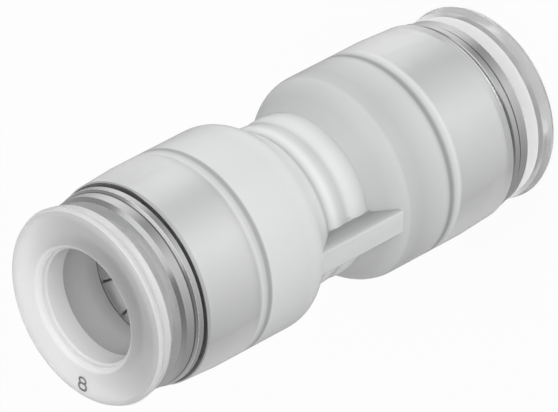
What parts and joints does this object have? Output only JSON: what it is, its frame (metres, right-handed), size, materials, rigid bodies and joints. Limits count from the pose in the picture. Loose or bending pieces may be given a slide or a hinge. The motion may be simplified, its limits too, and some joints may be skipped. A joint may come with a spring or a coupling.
{
  "type": "push-in tube fitting",
  "caption": "Straight push-in tube fitting: a waisted barrel with side ribs, and at each end a steel sleeve and a sliding release ring.",
  "frame": {"origin": "centre of the lower release ring's face, on the surface that the fitting stands on", "axes": "+Z along the fitting's axis, up, towards the end that is nearer in the picture; the two ribs lie towards -Y and +Y"},
  "size_m": [0.015, 0.015, 0.0388],
  "materials": {
    "body_plastic": "moulded, milky, satin",
    "ring_plastic": "moulded, translucent white",
    "stainless": "turned, satin",
    "spring_steel": "stamped, bare",
    "support_plastic": "moulded, plain",
    "seal_rubber": "matte"
  },
  "bodies": {
    "fitting": {"body": "body_plastic", "upper_sleeve": "stainless", "lower_sleeve": "stainless", "upper_claw": "spring_steel", "lower_claw": "spring_steel", "upper_support_ring": "support_plastic", "lower_support_ring": "support_plastic", "upper_seal": "seal_rubber", "lower_seal": "seal_rubber"},
    "upper_release": {"upper_release_ring": "ring_plastic"},
    "lower_release": {"lower_release_ring": "ring_plastic"}
  },
  "joints": [
    {"name": "upper_release_push", "type": "slide", "parent": "fitting", "child": "upper_release", "axis": [0, 0, -1], "range_m": [0, 0.00105], "stiffness_N_per_m": 3000, "springref_m": -0.0005},
    {"name": "lower_release_push", "type": "slide", "parent": "fitting", "child": "lower_release", "axis": [0, 0, 1], "range_m": [0, 0.00105], "stiffness_N_per_m": 3000, "springref_m": -0.0005}
  ]
}
